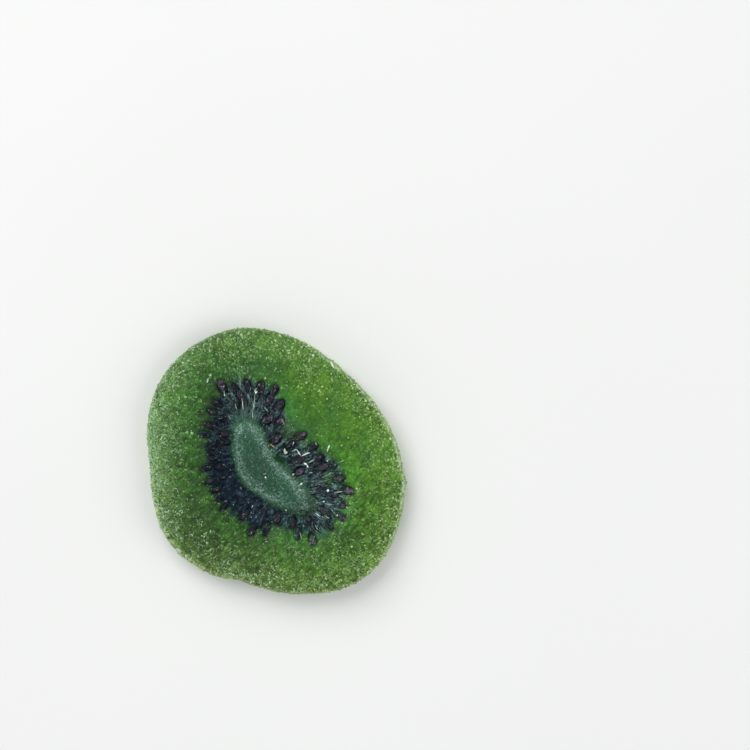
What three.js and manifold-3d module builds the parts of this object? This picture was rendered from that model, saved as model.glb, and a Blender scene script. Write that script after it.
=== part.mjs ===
// A candied kiwi slice: one thick round of fruit, cut across, sugared and dried until soft and translucent.
// All sizes are in millimetres. +Z is up, and the slice lies flat with its cut face up.
// The origin is at the middle of the footprint, on the surface that the slice lies on.
// Seen from above, +X is to the right and +Y away. The cut face has a long pale core in a ring of seeds, and
// flesh round them.

import * as THREE from "three";
import { mergeVertices } from "three/addons/utils/BufferGeometryUtils.js";
import Module from "manifold-3d";

const TURN = 2 * Math.PI;
const { degToRad, smoothstep, lerp } = THREE.MathUtils;

// The rim and the seeded ring's outer edge, as radii from the core's centre, every 15 degrees anticlockwise
// from +X.
const RIM_RADII = [
  21.4, 20.5, 19.8, 19.5, 19.8, 21.1, 22.6, 24.1, 24.7, 24.8, 24.2, 22.9,
  21.7, 21.9, 22.5, 22.4, 21.8, 21.0, 21.8, 23.0, 24.3, 24.5, 23.6, 22.5,
];
const SEEDED_RADII = [
  11.4, 9.4, 7.9, 7.5, 6.9, 8.6, 13.2, 15.0, 16.6, 15.5, 14.2, 13.1,
  12.7, 12.4, 12.0, 12.0, 12.3, 12.2, 11.4, 12.9, 15.0, 14.8, 14.2, 12.9,
];
// Small lumps on the rim: where they are, how far they stand out and how wide they are.
const RIM_LUMPS = [
  { angle: degToRad(-8), height: 0.45, spread: degToRad(2.6) },
  { angle: degToRad(61), height: 0.2, spread: degToRad(3) },
  { angle: degToRad(223), height: 0.22, spread: degToRad(2.4) },
  { angle: degToRad(251), height: -0.25, spread: degToRad(5) },
];

// The core is an ellipse whose middle is pushed sideways, towards the lower left.
const CORE_HALF_LENGTH = 9.9;
const CORE_HALF_WIDTH = 3.35;
const CORE_HEADING = degToRad(-57);
const CORE_BEND = 3.0;
const CORE_BEND_MIDDLE = -1.6;
const CORE_BEND_REACH = 7.5;
const CORE_FOCUS = Math.sqrt(CORE_HALF_LENGTH ** 2 - CORE_HALF_WIDTH ** 2);

// Heights of the cut face over the surface below, and how soft the steps between them are.
const FLESH_HEIGHT = 4.9;
const SEEDED_HEIGHT = 4.0;
const CORE_HEIGHT = 4.5;
const CORE_LIP = 0.22;
const CORE_LIP_INSET = 0.8;
const CORE_LIP_SPREAD = 0.7;
const CORE_STEP = [-0.4, 1.3];
const SEEDED_STEP = [-0.9, 1.2];
const FLESH_CROWN = 0.22;
const UNDER_CORE_HOLLOW = 0.2;
const UNDER_SEEDS_HOLLOW = 0.45;
const UNDERSIDE_STEP = [-0.5, 0.9];

// The rim's two opposite ends curl up a little. The flat stretches between them carry the slice.
const CURL_HEIGHT = 0.95;
const CURL_HEADING = degToRad(38);
const CURL_START = 0.62;

// The side wall is rounded, and leans in more at the right, where it shows from above.
const WALL_TOP_INSET = 0.95;
const WALL_TOP_INSET_RIGHT = 0.75;
const WALL_RIGHT_HEADING = degToRad(25);
const WALL_BOTTOM_INSET = 0.8;
const WALL_WIDEST = 0.42;
const WALL_SQUARENESS = 2.3;

// Seeds stand in files along rays of the ring, pointed end inwards, partly sunk in the flesh.
const SEED_LENGTH = 2.3;
const SEED_WIDTH = 1.4;
const SEED_THICKNESS = 1.0;
const SEED_PITCH = 2.5;
const SEED_CLEARANCE = 2.05;
const SEED_STAGGER = 1.5;
const SEED_CORE_MARGIN = 1.7;

// The cut face's seeds: the ray, in degrees of fan, and the inset from the ring's outer edge.
const MARKED_SEEDS = [
  [182, 0.3], [174, 2.0], [163, 1.4], [151, 1.4], [139, 0.5], [141, 3.0], [129, 1.2],
  [120, 2.1], [131, 4.8], [202, 0.8], [220, 0.3], [244, 0.8], [275, 0.7], [301, 0.3],
  [310, 0.7], [351, 0.3], [23, 0.4], [44, 0.3], [72, 6.3], [98, 0.9], [110, 3.5],
  [194, 1.2], [171, 4.4], [213, 1.6], [216, 5.9], [224, 5.0], [230, 2.5], [237, 3.0],
  [246, 4.2], [254, 4.3], [254, 1.0], [261, 1.4], [268, 1.2], [290, 2.2], [315, 3.2],
  [333, 3.4], [338, 0.7], [356, 7.2], [21, 4.0], [32, 1.5], [40, 3.6], [45, 6.0],
  [54, 1.5], [67, 3.2], [75, 2.5], [82, 4.5], [98, 2.9], [203, 4.3], [359, 3.4],
  [10, 1.5], [85, 1.2],
];

// On both faces: how many rays are filled besides, the first seed's least inset, how far the middles stand
// out, and the draw.
const TOP_SEEDS = { rays: 0, marked: MARKED_SEEDS, firstInset: 0.5, rise: [-0.12, 0.16], drawStart: 311 };
const UNDERSIDE_SEEDS = { rays: 14, marked: [], firstInset: 1.5, rise: [-0.32, -0.22], drawStart: 977 };

// How finely the faceted solid is made.
const STEPS_ROUND = 84;
const STEPS_TOP = 16;
const STEPS_WALL = 3;
const STEPS_UNDER = 9;
const SEED_SIDES = 6;

// Three waves that cross at different angles give the cut face its gentle unevenness.
const SWELLS = [
  { height: 0.13, across: 0.31, along: 0.22, phase: 0.6 },
  { height: 0.1, across: -0.24, along: 0.43, phase: 2.1 },
  { height: 0.06, across: 0.66, along: 0.17, phase: 4.0 },
];

// A small generator of repeatable draws between 0 and 1.
function makeDraw(start) {
  let state = start;
  return () => {
    state = (state * 16807) % 2147483647;
    return state / 2147483647;
  };
}

// A smooth closed curve through evenly spaced radii.
function radiusAt(radii, angle) {
  const place = THREE.MathUtils.euclideanModulo(angle / TURN, 1) * radii.length;
  const first = Math.floor(place);
  const share = place - first;
  const at = (step) => radii[(first + step + radii.length) % radii.length];
  const [before, from, to, after] = [at(-1), at(0), at(1), at(2)];
  const slope = (to - before) / 2;
  const nextSlope = (after - from) / 2;
  const rise = to - from;
  return (
    from +
    share * slope +
    share ** 2 * (3 * rise - 2 * slope - nextSlope) +
    share ** 3 * (slope + nextSlope - 2 * rise)
  );
}

function angleBetween(a, b) {
  return Math.atan2(Math.sin(a - b), Math.cos(a - b));
}

function rimRadius(angle) {
  const lumps = RIM_LUMPS.map(({ angle: centre, height, spread }) => {
    return height * Math.exp(-((angleBetween(angle, centre) / spread) ** 2));
  });
  return radiusAt(RIM_RADII, angle) + lumps.reduce((sum, lump) => sum + lump, 0);
}

// The slice's own coordinates are confocal ellipses round the core. Spread is 0 on the core's middle line
// and 1 at the rim, and fan turns round them, so that the lines of equal fan run out like the fruit's rays.
const RIM_HALF_WIDTH = 22.8;
const CORE_SPREAD = CORE_HALF_WIDTH / RIM_HALF_WIDTH;

function ellipsePoint(spread, fan) {
  const halfWidth = spread * RIM_HALF_WIDTH;
  return [Math.hypot(CORE_FOCUS, halfWidth) * Math.cos(fan), halfWidth * Math.sin(fan)];
}

// The point of the cut face, from the core's centre, for one spread and fan.
function facePoint(spread, fan) {
  const [rimAlong, rimAcross] = ellipsePoint(1, fan);
  const rimAngle = CORE_HEADING + Math.atan2(rimAcross, rimAlong);
  const stretch = rimRadius(rimAngle) / Math.hypot(rimAlong, rimAcross);
  const scale = 1 + (stretch - 1) * spread ** 2;
  const [along, across] = ellipsePoint(spread, fan);
  const fromBend = (along - CORE_BEND_MIDDLE) / CORE_BEND_REACH;
  const bend = CORE_BEND * Math.exp(-(fromBend ** 2)) * (1 - spread ** 2) ** 2;
  const flat = new THREE.Vector2(along * scale, (across - bend) * scale);
  return flat.rotateAround(new THREE.Vector2(), CORE_HEADING);
}

// How far a point lies outside the core, and inside the seeded ring's outer edge.
function gaps(spread, point) {
  const outsideCore = (spread - CORE_SPREAD) * RIM_HALF_WIDTH;
  const insideSeeded = radiusAt(SEEDED_RADII, point.angle()) - point.length();
  return { outsideCore, insideSeeded };
}

function curlAt(spread, point) {
  const outwards = Math.max(0, (spread - CURL_START) / (1 - CURL_START));
  const towards = Math.max(0, Math.cos(2 * (point.angle() - CURL_HEADING)));
  return CURL_HEIGHT * outwards ** 2 * towards ** 2;
}

function swellAt({ x, y }) {
  return SWELLS.reduce((sum, { height, across, along, phase }) => {
    return sum + height * Math.sin(across * x + along * y + phase);
  }, 0);
}

function topHeight(spread, point) {
  const { outsideCore, insideSeeded } = gaps(spread, point);
  const core = 1 - smoothstep(outsideCore, ...CORE_STEP);
  const flesh = smoothstep(-insideSeeded, ...SEEDED_STEP);
  const lip = CORE_LIP * Math.exp(-(((outsideCore + CORE_LIP_INSET) / CORE_LIP_SPREAD) ** 2));
  const crown = FLESH_CROWN * Math.sin(Math.PI * smoothstep(-insideSeeded, 0, 9));
  return (
    SEEDED_HEIGHT +
    (FLESH_HEIGHT - SEEDED_HEIGHT) * flesh +
    (CORE_HEIGHT - SEEDED_HEIGHT) * core +
    lip +
    crown +
    swellAt(point) +
    curlAt(spread, point)
  );
}

function underHeight(spread, point) {
  const { outsideCore, insideSeeded } = gaps(spread, point);
  const core = 1 - smoothstep(outsideCore, ...CORE_STEP);
  const hollow = lerp(UNDER_SEEDS_HOLLOW, UNDER_CORE_HOLLOW, core);
  return hollow * smoothstep(insideSeeded, ...UNDERSIDE_STEP) + curlAt(spread, point);
}

// One ring of points at a given spread, lifted to a height that height(spread, point) gives.
function ring(spreadAt, height) {
  return Array.from({ length: STEPS_ROUND }, (_, step) => {
    const fan = (step / STEPS_ROUND) * TURN;
    const spread = spreadAt(facePoint(1, fan));
    const point = facePoint(spread, fan);
    return new THREE.Vector3(point.x, point.y, height(spread, point));
  });
}

function wallTopInset(rimPoint) {
  const right = Math.max(0, Math.cos(rimPoint.angle() - WALL_RIGHT_HEADING));
  return WALL_TOP_INSET + WALL_TOP_INSET_RIGHT * right;
}

// A ring on the wall's rounding: turned is 0 where the wall meets the face, and 1 at its widest line.
function wallRing(turned, insetAt, height) {
  const bow = 2 / WALL_SQUARENESS;
  const out = Math.sin((turned * Math.PI) / 2) ** bow;
  const drop = 1 - Math.cos((turned * Math.PI) / 2) ** bow;
  const edge = (rimPoint) => 1 - insetAt(rimPoint) / rimPoint.length();
  const spreadAt = (rimPoint) => lerp(edge(rimPoint), 1, out);
  return ring(spreadAt, (spread, point) => {
    const top = topHeight(spread, point);
    const under = underHeight(spread, point);
    return lerp(height({ top, under }), lerp(under, top, WALL_WIDEST), drop);
  });
}

// The body is a stack of rings: over the top from the core's middle line, down the wall and back underneath.
function bodyGeometry() {
  const topEdge = (rimPoint) => 1 - wallTopInset(rimPoint) / rimPoint.length();
  const underEdge = (rimPoint) => 1 - WALL_BOTTOM_INSET / rimPoint.length();
  const rings = [];
  for (let step = 0; step < STEPS_TOP; step++) {
    rings.push(ring((rimPoint) => (step / STEPS_TOP) * topEdge(rimPoint), topHeight));
  }
  for (let step = 0; step < STEPS_WALL; step++) {
    rings.push(wallRing(step / STEPS_WALL, wallTopInset, ({ top }) => top));
  }
  for (let step = STEPS_WALL; step > 0; step--) {
    rings.push(wallRing(step / STEPS_WALL, () => WALL_BOTTOM_INSET, ({ under }) => under));
  }
  for (let step = STEPS_UNDER; step >= 0; step--) {
    rings.push(ring((rimPoint) => (step / STEPS_UNDER) * underEdge(rimPoint), underHeight));
  }
  const index = [];
  for (let level = 0; level + 1 < rings.length; level++) {
    for (let step = 0; step < STEPS_ROUND; step++) {
      const next = (step + 1) % STEPS_ROUND;
      const inner = [level * STEPS_ROUND + step, level * STEPS_ROUND + next];
      const outer = [inner[0] + STEPS_ROUND, inner[1] + STEPS_ROUND];
      index.push(inner[0], outer[0], outer[1], inner[0], outer[1], inner[1]);
    }
  }
  const geometry = new THREE.BufferGeometry().setFromPoints(rings.flat());
  geometry.setIndex(index);
  return geometry;
}

// A seed is a flattened drop with its pointed end at -X.
function seedGeometry(scale) {
  const profile = [
    [0, -0.5],
    [0.34, -0.18],
    [0.5, 0.14],
    [0.32, 0.4],
    [0, 0.5],
  ];
  const points = profile.map(([radius, along]) => new THREE.Vector2(radius, along));
  const geometry = new THREE.LatheGeometry(points, SEED_SIDES);
  geometry.rotateZ(-Math.PI / 2);
  return geometry.scale(SEED_LENGTH * scale, SEED_WIDTH * scale, SEED_THICKNESS * scale);
}

// The spread at which a ray crosses the seeded ring's outer edge.
function seededSpread(fan) {
  let [low, high] = [CORE_SPREAD, 1];
  for (let halving = 0; halving < 24; halving++) {
    const middle = (low + high) / 2;
    if (gaps(middle, facePoint(middle, fan)).insideSeeded > 0) low = middle;
    else high = middle;
  }
  return low;
}

// One seed's place, from its ray and its inset from the ring's outer edge, with small draws for how it lies.
function seedPlace(fan, inset, draw) {
  const spread = seededSpread(fan) - inset / RIM_HALF_WIDTH;
  const centre = facePoint(spread, fan);
  const outwards = facePoint(spread + 0.01, fan).sub(centre).angle();
  const [turn, rise, size] = [0.35 * (draw() - 0.5), draw(), 0.9 + 0.2 * draw()];
  return { spread, centre, heading: outwards + turn, rise, size };
}

// Where the seeds of one face lie: the marked ones, and then ray by ray from the ring's outer edge inwards,
// each where it is clear of those before it.
function seedPlaces({ rays, marked, firstInset, drawStart }) {
  const draw = makeDraw(drawStart);
  const places = marked.map(([degrees, inset]) => seedPlace(degToRad(degrees), inset, draw));
  for (let ray = 0; ray < rays; ray++) {
    const fan = ((ray + 0.5 * (draw() - 0.5)) / rays) * TURN;
    const room = (seededSpread(fan) - CORE_SPREAD) * RIM_HALF_WIDTH;
    let inset = firstInset + SEED_STAGGER * (ray % 2) * draw() + 0.4 * draw();
    while (inset < room - SEED_CORE_MARGIN) {
      const seed = seedPlace(fan, inset, draw);
      const clear = places.every(({ centre }) => centre.distanceTo(seed.centre) > SEED_CLEARANCE);
      if (clear) places.push(seed);
      inset += SEED_PITCH * (0.85 + 0.4 * draw());
    }
  }
  return places;
}

const wasm = await Module();
wasm.setup();

function solidOf(geometry) {
  const bare = geometry.clone();
  bare.deleteAttribute("normal");
  bare.deleteAttribute("uv");
  const merged = mergeVertices(bare, 1e-4);
  return new wasm.Manifold(
    new wasm.Mesh({
      numProp: 3,
      vertProperties: new Float32Array(merged.attributes.position.array),
      triVerts: new Uint32Array(merged.index.array),
    }),
  );
}

function geometryOf(solid) {
  const mesh = solid.getMesh();
  const geometry = new THREE.BufferGeometry();
  geometry.setAttribute("position", new THREE.BufferAttribute(mesh.vertProperties, 3));
  geometry.setIndex(new THREE.BufferAttribute(mesh.triVerts, 1));
  geometry.computeVertexNormals();
  return geometry;
}

// The seeds of one face, whose height is heightAt and whose outside is +1 for up or -1 for down.
function seedSolids(face, heightAt, outside) {
  return seedPlaces(face).map(({ spread, centre, heading, rise, size }) => {
    const geometry = seedGeometry(size);
    geometry.rotateZ(heading);
    geometry.translate(centre.x, centre.y, heightAt(spread, centre) + outside * lerp(...face.rise, rise));
    return solidOf(geometry);
  });
}

function sliceGeometry() {
  const top = seedSolids(TOP_SEEDS, topHeight, 1);
  const under = seedSolids(UNDERSIDE_SEEDS, underHeight, -1);
  const whole = [...top, ...under].reduce((body, seed) => body.add(seed), solidOf(bodyGeometry()));
  const geometry = geometryOf(whole);
  geometry.computeBoundingBox();
  const middle = geometry.boundingBox.getCenter(new THREE.Vector3());
  return geometry.translate(-middle.x, -middle.y, -geometry.boundingBox.min.z);
}

const slice = new THREE.Mesh(
  sliceGeometry(),
  new THREE.MeshStandardMaterial({ color: 0x4f8a2c, roughness: 0.42, metalness: 0 }),
);
slice.name = "kiwi_slice";

const group = new THREE.Group();
group.name = "candied_kiwi_slice";
group.add(slice);

export default group;
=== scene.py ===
"""A candied kiwi slice: clear green flesh, a long core in a ring of dark seeds, and fine sugar frosting."""
import itertools
import math

import bmesh
import bpy
import numpy as np
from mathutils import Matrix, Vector


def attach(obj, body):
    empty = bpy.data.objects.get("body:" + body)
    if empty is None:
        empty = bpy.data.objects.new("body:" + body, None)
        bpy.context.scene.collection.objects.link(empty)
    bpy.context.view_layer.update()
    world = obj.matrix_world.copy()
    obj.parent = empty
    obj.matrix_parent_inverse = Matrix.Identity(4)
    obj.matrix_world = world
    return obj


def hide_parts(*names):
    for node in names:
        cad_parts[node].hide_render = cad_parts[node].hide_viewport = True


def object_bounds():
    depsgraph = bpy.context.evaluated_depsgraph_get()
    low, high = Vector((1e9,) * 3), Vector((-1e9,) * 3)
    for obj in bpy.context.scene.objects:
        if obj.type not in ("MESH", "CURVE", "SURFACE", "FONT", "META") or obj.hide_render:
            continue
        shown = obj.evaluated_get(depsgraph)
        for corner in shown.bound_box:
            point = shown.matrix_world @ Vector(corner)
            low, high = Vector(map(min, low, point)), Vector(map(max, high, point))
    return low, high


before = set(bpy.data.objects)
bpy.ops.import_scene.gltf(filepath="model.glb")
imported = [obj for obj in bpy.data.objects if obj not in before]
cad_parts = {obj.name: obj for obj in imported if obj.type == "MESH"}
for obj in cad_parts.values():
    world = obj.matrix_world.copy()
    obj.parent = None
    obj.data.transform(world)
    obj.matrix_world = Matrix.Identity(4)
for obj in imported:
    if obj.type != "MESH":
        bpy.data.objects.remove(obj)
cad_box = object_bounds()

# Lengths are in millimetres until a piece's mesh is made. Angles in the tables are in degrees.
MM = 0.001
TURN = 2 * math.pi

# The outlines of the rim and of the seeded ring, as radii from the core's centre, every 15 degrees from +X.
RIM_RADII = np.array([
    21.4, 20.5, 19.8, 19.5, 19.8, 21.1, 22.6, 24.1, 24.7, 24.8, 24.2, 22.9,
    21.7, 21.9, 22.5, 22.4, 21.8, 21.0, 21.8, 23.0, 24.3, 24.5, 23.6, 22.5,
])
SEEDED_RADII = np.array([
    11.4, 9.4, 7.9, 7.5, 6.9, 8.6, 13.2, 15.0, 16.6, 15.5, 14.2, 13.1,
    12.7, 12.4, 12.0, 12.0, 12.3, 12.2, 11.4, 12.9, 15.0, 14.8, 14.2, 12.9,
])
# Lumps on the rim: angle, how far each stands out, and how wide it is in degrees.
RIM_LUMPS = [(-8, 0.45, 2.6), (61, 0.2, 3), (223, 0.22, 2.4), (251, -0.25, 5)]

CORE_HALF_LENGTH = 9.9
CORE_HALF_WIDTH = 3.35
CORE_HEADING = math.radians(-57)
CORE_BEND = 3.0
CORE_BEND_MIDDLE = -1.6
CORE_BEND_REACH = 7.5
CORE_FOCUS = math.sqrt(CORE_HALF_LENGTH**2 - CORE_HALF_WIDTH**2)
RIM_HALF_WIDTH = 22.8
CORE_SPREAD = CORE_HALF_WIDTH / RIM_HALF_WIDTH

FLESH_HEIGHT = 4.9
SEEDED_HEIGHT = 4.0
CORE_HEIGHT = 4.5
CORE_LIP = 0.22
CORE_LIP_INSET = 0.8
CORE_LIP_SPREAD = 0.7
FLESH_CROWN = 0.22
UNDER_CORE_HOLLOW = 0.2
UNDER_SEEDS_HOLLOW = 0.45
CURL_HEIGHT = 0.95
CURL_HEADING = math.radians(38)
CURL_START = 0.62
WALL_TOP_INSET = 0.95
WALL_TOP_INSET_RIGHT = 0.75
WALL_RIGHT_HEADING = math.radians(25)
WALL_BOTTOM_INSET = 0.8
WALL_WIDEST = 0.42
WALL_SQUARENESS = 2.3
SWELLS = [(0.13, 0.31, 0.22, 0.6), (0.1, -0.24, 0.43, 2.1), (0.06, 0.66, 0.17, 4.0)]

SEED_LENGTH = 2.3
SEED_WIDTH = 1.4
SEED_THICKNESS = 1.0
SEED_PITCH = 2.5
SEED_CLEARANCE = 2.05
SEED_STAGGER = 1.5
SEED_CORE_MARGIN = 1.7
SEED_ROWS = 14
SEED_SIDES = 18
# The cut face's seeds: the ray in degrees of fan, the inset from the ring's edge, and how clear of the gel it
# lies, from 0 to 1.
MARKED_SEEDS = [
    (182, 0.3, 0.9), (174, 2.0, 0.15), (163, 1.4, 0.85), (151, 1.4, 0.6), (139, 0.5, 0.5), (141, 3.0, 0.7),
    (129, 1.2, 0.7), (120, 2.1, 0.75), (131, 4.8, 0.6), (202, 0.8, 0.6), (220, 0.3, 0.1), (244, 0.8, 0.5),
    (275, 0.7, 0.4), (301, 0.3, 0.6), (310, 0.7, 0.3), (351, 0.3, 1.0), (23, 0.4, 0.6), (44, 0.3, 0.9),
    (72, 6.3, 1.0), (98, 0.9, 0.4), (110, 3.5, 0.7), (194, 1.2, 0.3), (171, 4.4, 0.6), (213, 1.6, 0.3),
    (216, 5.9, 0.4), (224, 5.0, 0.3), (230, 2.5, 0.15), (237, 3.0, 0.35), (246, 4.2, 0.2), (254, 4.3, 0.15),
    (254, 1.0, 0.5), (261, 1.4, 0.55), (268, 1.2, 0.15), (290, 2.2, 0.5), (315, 3.2, 0.4), (333, 3.4, 0.45),
    (338, 0.7, 0.2), (356, 7.2, 0.1), (21, 4.0, 0.35), (32, 1.5, 0.25), (40, 3.6, 0.55), (45, 6.0, 0.25),
    (54, 1.5, 0.5), (67, 3.2, 0.4), (75, 2.5, 0.2), (82, 4.5, 0.5), (98, 2.9, 0.3), (203, 4.3, 0.0),
    (359, 3.4, 0.1), (10, 1.5, 0.15), (85, 1.2, 0.3),
]
TOP_SEEDS = {"rays": 0, "marked": MARKED_SEEDS, "first_inset": 0.5, "rise": (-0.12, 0.16), "start": 311}
UNDER_SEEDS = {"rays": 14, "marked": [], "first_inset": 1.5, "rise": (-0.32, -0.22), "start": 977}

# Soft patches of tone on the flesh: place from the core's centre, reach and strength.
COOL_PATCHES = [
    (-12, -12, 8, 1.0), (-9, 13, 6, 0.85), (-3, 15.5, 3.5, 0.5), (6.5, 6.5, 3.2, 0.45), (-17, 2, 4, 0.2),
    (11, -11.5, 3.5, 0.8), (-16, -15.5, 5, 0.8), (4, -16.5, 4, 0.45),
]
WARM_PATCHES = [(16, 4, 8, 0.8), (8, 17, 6, 0.8), (-5, 21, 6, 0.4), (4, -21, 6, 0.4), (17, -9, 6, 0.6)]
# Where hardly any sugar lies, and where there is more than around.
BARE_PATCHES = [
    (9, 7, 6, 1.0), (15, -7, 4, 0.8), (-11, -13, 7, 1.0), (-13, 0, 3, 0.5), (-9, 15, 5, 0.5),
    (-16, -15, 5, 0.7),
]
SUGARY_PATCHES = [
    (13.9, -4.3, 1.1, 1.5), (12.7, -8.0, 1.2, 0.9), (12.2, -6.0, 0.9, 1.0), (9.8, -12.6, 1.4, 0.4),
    (5.5, -14.9, 2, 0.5), (6.6, 3.4, 0.9, 0.8), (-6, 19, 3.5, 0.6), (3, 20, 4, 0.6), (16, 11, 3, 0.5),
]
# Where the face is somewhat paler (above 0) or darker (below 0) than around.
TONE_PATCHES = [
    (-0.1, 11.7, 2.0, 1.2), (1.7, 9.0, 1.6, 1.0), (7.0, 2.8, 1.8, 0.6), (9.0, -2.3, 1.4, 0.2),
    (12.6, -0.9, 1.6, 1.4), (11.2, -7.9, 2.0, 1.0), (-7.5, 10.4, 2.0, -0.9), (-3.9, 12.0, 1.5, -0.8),
    (-2.6, 9.5, 1.9, -0.5), (-11.8, 7.9, 2.0, -1.0), (6.4, -1.0, 1.6, -1.0), (2.6, 0.8, 1.6, -0.6),
    (8.9, -6.8, 1.6, -0.9), (5.3, -9.5, 1.7, -0.8), (7.0, -12.4, 1.5, 0.4), (-8.5, 20.0, 4.0, -0.4),
    (17.8, -11.0, 3.0, -0.5), (15.2, -4.8, 2.2, -0.35), (19.5, 3.2, 3.0, 0.7), (2.2, -15.6, 2.4, 0.9),
    (-14.3, -13.6, 2.5, -0.9), (-17.2, -7.0, 3.0, -0.6), (4.0, 16.4, 2.2, -0.35), (-17.0, 13.6, 3.0, 0.4),
    (9.0, 17.6, 2.2, 0.4), (-16.7, -14.9, 2.0, 0.9), (-4.0, -20.4, 3.0, -0.5), (-6.0, 7.3, 1.4, 0.4),
    (-2.8, 6.5, 1.4, 0.4), (0.8, -2.4, 1.8, 0.5), (2.4, -6.0, 1.8, 0.55), (-1.6, -12.2, 1.6, -0.5),
    (-14.5, -2.5, 1.8, 0.35), (-11.8, 15.4, 2.2, 0.4), (-2.6, 17.2, 1.6, 0.5), (-8.0, 3.0, 2.5, -0.3),
    (-0.6, 21.3, 1.6, 0.4), (-9.6, 13.4, 1.9, -0.7), (21.4, -2.2, 1.4, -0.4), (-10.3, -1.0, 1.4, 0.7),
    (-17.0, 6.8, 1.8, -0.3), (-5.0, 7.6, 1.2, -0.4), (2.0, -7.8, 1.2, -0.35), (-5.0, -1.2, 1.0, -0.35),
    (-0.8, -9.6, 1.8, 0.4), (9.4, -12.6, 1.6, -0.35), (8.2, -2.9, 1.1, -0.5), (10.0, -3.8, 1.1, -0.6),
    (5.3, -4.1, 1.2, 0.8), (3.3, -0.9, 0.9, 0.5), (4.5, -7.8, 1.0, 0.7), (-4.9, 9.4, 1.3, -0.5),
    (-2.5, -15.5, 3.0, -0.25), (3.5, -10.6, 1.3, 0.7), (-12.7, 0.6, 1.4, -0.5), (-14.6, 9.8, 1.6, 0.4),
    (13.6, -8.4, 1.2, -0.5),
]
# Where green flesh shows between the seeds.
GREEN_PATCHES = [(2.2, 5.4, 1.5, 0.7), (9.2, -2.4, 1.1, 1.0), (4.8, 3.8, 0.9, 0.6), (0.8, -13.6, 1.0, 0.6)]

# Pale streaks: the ray in degrees of fan, how far inside the ring's edge each begins and ends, its half width
# in degrees, and its strength.
PALE_STREAKS = [
    (167, 5.5, -1.8, 1.6, 0.9), (155, 3.2, -1.2, 1.4, 0.55), (156.5, 8.4, 3.6, 1.0, 0.5),
    (172, 8.6, 5.2, 1.0, 0.7), (177, 4.2, 0.0, 1.3, 0.6), (183.5, 3.6, 0.8, 1.2, 0.7),
    (161.5, 4.0, -0.6, 0.9, 0.4), (149, 5.2, 1.6, 1.0, 0.4),
    (40, 2.6, -0.8, 0.7, 0.6), (28, 3.0, -0.9, 0.6, 0.6), (20, 5.4, 3.0, 0.8, 0.5), (33, 4.8, 2.6, 0.8, 0.4),
    (136, 3.4, 0.4, 1.5, 0.7), (121, 2.4, 0.0, 1.3, 0.5),
]

# What the rays bring: the angle of the fan, how far to either side, and how much. The first two say how far
# the core's border and its frosted band are shifted outwards, the others how strong the band is, how far the
# core's green runs on into the gel, and how bright the gel is.
CORE_BORDER_SHIFTS = [(178, 20, -0.55), (215, 20, 0.3), (24, 36, 0.6), (126, 20, 0.35)]
CORE_RING_SHIFTS = [
    (110, 26, 0.1), (218, 16, -0.1), (264, 18, 0.35), (42, 14, -0.5), (2, 18, -1.0), (322, 16, -0.7),
]
CORE_RING_STRENGTHS = [
    (130, 34, 0.2), (198, 15, 0.8), (65, 24, 0.3), (8, 22, -0.1), (328, 20, -0.45), (160, 14, -0.35),
    (222, 10, -0.3),
]
TINGE_REACHES = [(180, 48, 1.6), (34, 32, 1.4), (0, 12, -0.4)]
GEL_GLOWS = [(15, 34, 1.0), (100, 26, -0.45), (160, 30, 0.1)]
# How much paler the rim is towards a heading: its angle, how closely it is kept to, and how much.
RIM_TONES = [(222, 20, 0.8), (114, 8, -0.55), (263, 16, -0.5), (40, 16, -0.35)]

PIT = {"x": 0.75, "y": 0.95, "depth": 0.4, "length": 1.1, "width": 0.54, "heading": -0.15}
MOAT_DEPTH = 0.2
BED_DEPTH = 0.24
# Each seed's bed is shifted right, up and inwards by these amounts, so that its dent and its painted shadow
# crescent lie on the seed's upper-left, inner side.
SHADE_SHIFT = (-0.09, 0.1, 0.12)
FIBRE_COUNT = 460
FIBRE_STEPS = 8
# Half the width of a usual grain, and of the smallest and the largest.
GRAIN_SIZE = 0.08
GRAIN_SIZES = (0.035, 0.2)
# How far the highest grains stand above the CAD model's top.
HIGHEST_GRAIN = 0.12
STRING_COUNT = 8000
STRING_GRAINS = 3
GRAIN_POINTS = np.array([[1, 0, 0], [-1, 0, 0], [0, 1, 0], [0, -1, 0], [0, 0, 1], [0, 0, -1.0]])
GRAIN_FACES = np.array([
    [0, 2, 4], [2, 1, 4], [1, 3, 4], [3, 0, 4], [2, 0, 5], [1, 2, 5], [3, 1, 5], [0, 3, 5],
])
BIT_ROWS = 8
BIT_SIDES = 8
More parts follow.
